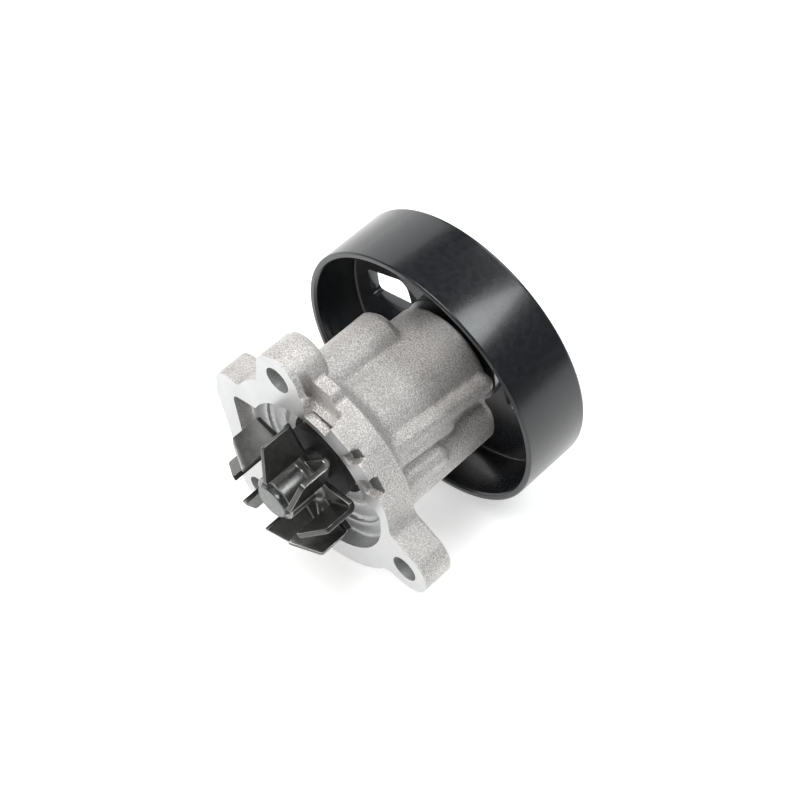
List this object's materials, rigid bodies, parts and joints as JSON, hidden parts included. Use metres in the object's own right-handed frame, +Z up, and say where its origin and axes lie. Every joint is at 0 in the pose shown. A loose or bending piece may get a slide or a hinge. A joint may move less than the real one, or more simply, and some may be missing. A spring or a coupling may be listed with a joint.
{
  "type": "water pump",
  "caption": "Belt-driven engine coolant pump with a cast three-eared body, pressed-steel impeller, spindle bearing, face seal and open drum pulley.",
  "frame": {"origin": "centre of the mounting face, on the shaft axis", "axes": "+Y along the shaft from the impeller to the pulley, +Z up, +X to the side so that the frame is right-handed"},
  "size_m": [0.1011, 0.0949, 0.1],
  "materials": {
    "cast_body": "shot-blast casting, machined face",
    "bearing_steel": "ground",
    "shaft_steel": "ground",
    "cage_plastic": "moulded",
    "seal_rubber": "moulded",
    "slinger_steel": "pressed",
    "seal_cup_steel": "pressed",
    "spring_steel": "drawn wire",
    "seal_carbon": "lapped carbon",
    "seal_ceramic": "lapped ceramic",
    "impeller_steel": "pressed, bare with bright cut edges",
    "hub_steel": "turned",
    "pulley_paint": "gloss black"
  },
  "bodies": {
    "housing": {"housing": "cast_body", "bearing_outer_race": "bearing_steel", "front_bearing_seal": "seal_rubber", "rear_bearing_seal": "seal_rubber", "seal_cup": "seal_cup_steel", "seal_bellows": "seal_rubber", "seal_spring": "spring_steel", "seal_ferrule": "seal_cup_steel", "seal_carbon_ring": "seal_carbon"},
    "rotor": {"shaft": "shaft_steel", "slinger": "slinger_steel", "seal_mating_ring": "seal_ceramic", "seal_mating_boot": "seal_rubber", "impeller": "impeller_steel", "pulley_hub": "hub_steel", "pulley": "pulley_paint"},
    "ball_row": {"front_balls": "bearing_steel", "front_cage": "cage_plastic"},
    "roller_row": {"rear_rollers": "bearing_steel", "rear_cage": "cage_plastic"}
  },
  "joints": [
    {"name": "rotor_spin", "type": "hinge", "parent": "housing", "child": "rotor", "pos_m": [0, 0, 0], "axis": [0, 1, 0], "continuous": true},
    {"name": "ball_row_spin", "type": "hinge", "parent": "housing", "child": "ball_row", "pos_m": [0, 0.035, 0], "axis": [0, 1, 0], "continuous": true},
    {"name": "roller_row_spin", "type": "hinge", "parent": "housing", "child": "roller_row", "pos_m": [0, 0.0525, 0], "axis": [0, 1, 0], "continuous": true}
  ],
  "couplings": [
    {"joint": "ball_row_spin", "follows": "rotor_spin", "ratio": 0.3725},
    {"joint": "roller_row_spin", "follows": "rotor_spin", "ratio": 0.3971}
  ]
}
